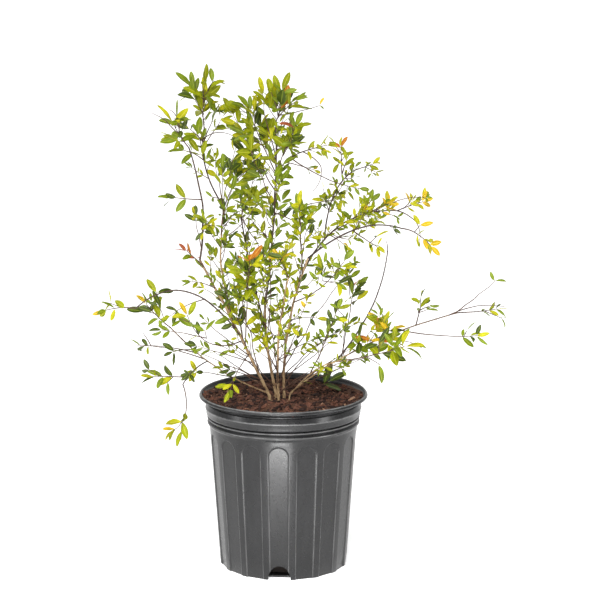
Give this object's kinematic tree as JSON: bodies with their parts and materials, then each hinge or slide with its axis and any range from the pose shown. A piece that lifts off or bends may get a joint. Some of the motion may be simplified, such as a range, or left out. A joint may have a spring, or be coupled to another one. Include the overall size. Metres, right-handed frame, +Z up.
{
  "type": "potted pomegranate shrub",
  "caption": "Young pomegranate shrub with slender arching stems and sparse narrow leaves, growing in a round fluted black nursery pot filled with bark potting mix.",
  "frame": {"origin": "centre of the pot's flat underside", "axes": "+Z up along the pot's axis and the stems, -Y towards the viewer's front, +X to the right, towards the long low bough"},
  "size_m": [0.6056, 0.3787, 0.7419],
  "materials": {
    "pot_plastic": "satin black moulded polyethylene",
    "potting_mix": "rough loose bark mix",
    "bark_tan": "dull tan bark with fine cracks",
    "bark_dark": "smooth dark brown young bark",
    "leaves": "glossy thin green leaves with yellow and orange new growth"
  },
  "bodies": {
    "root": {"pot": "pot_plastic", "soil": "potting_mix", "stem_left": "bark_tan", "stem_center": "bark_tan", "stem_light": "bark_tan", "stem_right": "bark_tan", "bough_low_right": "bark_tan", "bough_front_right": "bark_tan", "bough_low_left": "bark_tan", "leader_left": "bark_dark", "stem_tan": "bark_tan", "leader_mid": "bark_dark", "leader_center": "bark_dark", "stem_dark": "bark_dark", "bough_low_arch": "bark_dark", "bough_middle": "bark_dark", "bough_upper": "bark_dark", "bough_top_arch": "bark_dark", "bough_hanging_left": "bark_dark", "bough_arch_left": "bark_dark", "bough_bare_right": "bark_dark", "foliage_crown_left": "leaves", "foliage_high_left": "leaves", "foliage_crown_mid_left": "leaves", "foliage_crown_back": "leaves", "foliage_top_left": "leaves", "foliage_top": "leaves", "foliage_top_right": "leaves", "foliage_arch_light": "leaves", "foliage_arch_thin": "leaves", "foliage_right_shoot": "leaves", "foliage_right_upper": "leaves", "foliage_right_dense": "leaves", "foliage_right_tip": "leaves", "foliage_arch_tip": "leaves", "foliage_arch_under": "leaves", "foliage_centre_right": "leaves", "foliage_centre_high": "leaves", "foliage_centre_back": "leaves", "foliage_left_small": "leaves", "foliage_centre_left": "leaves", "foliage_centre_yellow": "leaves", "foliage_red_sprig": "leaves", "foliage_right_fan": "leaves", "foliage_red_shoot": "leaves", "foliage_right_back": "leaves", "foliage_right_low": "leaves", "foliage_right_low_front": "leaves", "foliage_right_outer": "leaves", "foliage_right_outer_back": "leaves", "foliage_right_outer_low": "leaves", "foliage_over_rim_right": "leaves", "foliage_left_low_tip": "leaves", "foliage_left_low_mid": "leaves", "foliage_left_low_back": "leaves", "foliage_left_low_front": "leaves", "foliage_left_hanging": "leaves", "foliage_over_rim_left": "leaves", "foliage_arch_left_tip": "leaves", "foliage_sprouts": "leaves"}
  },
  "joints": []
}
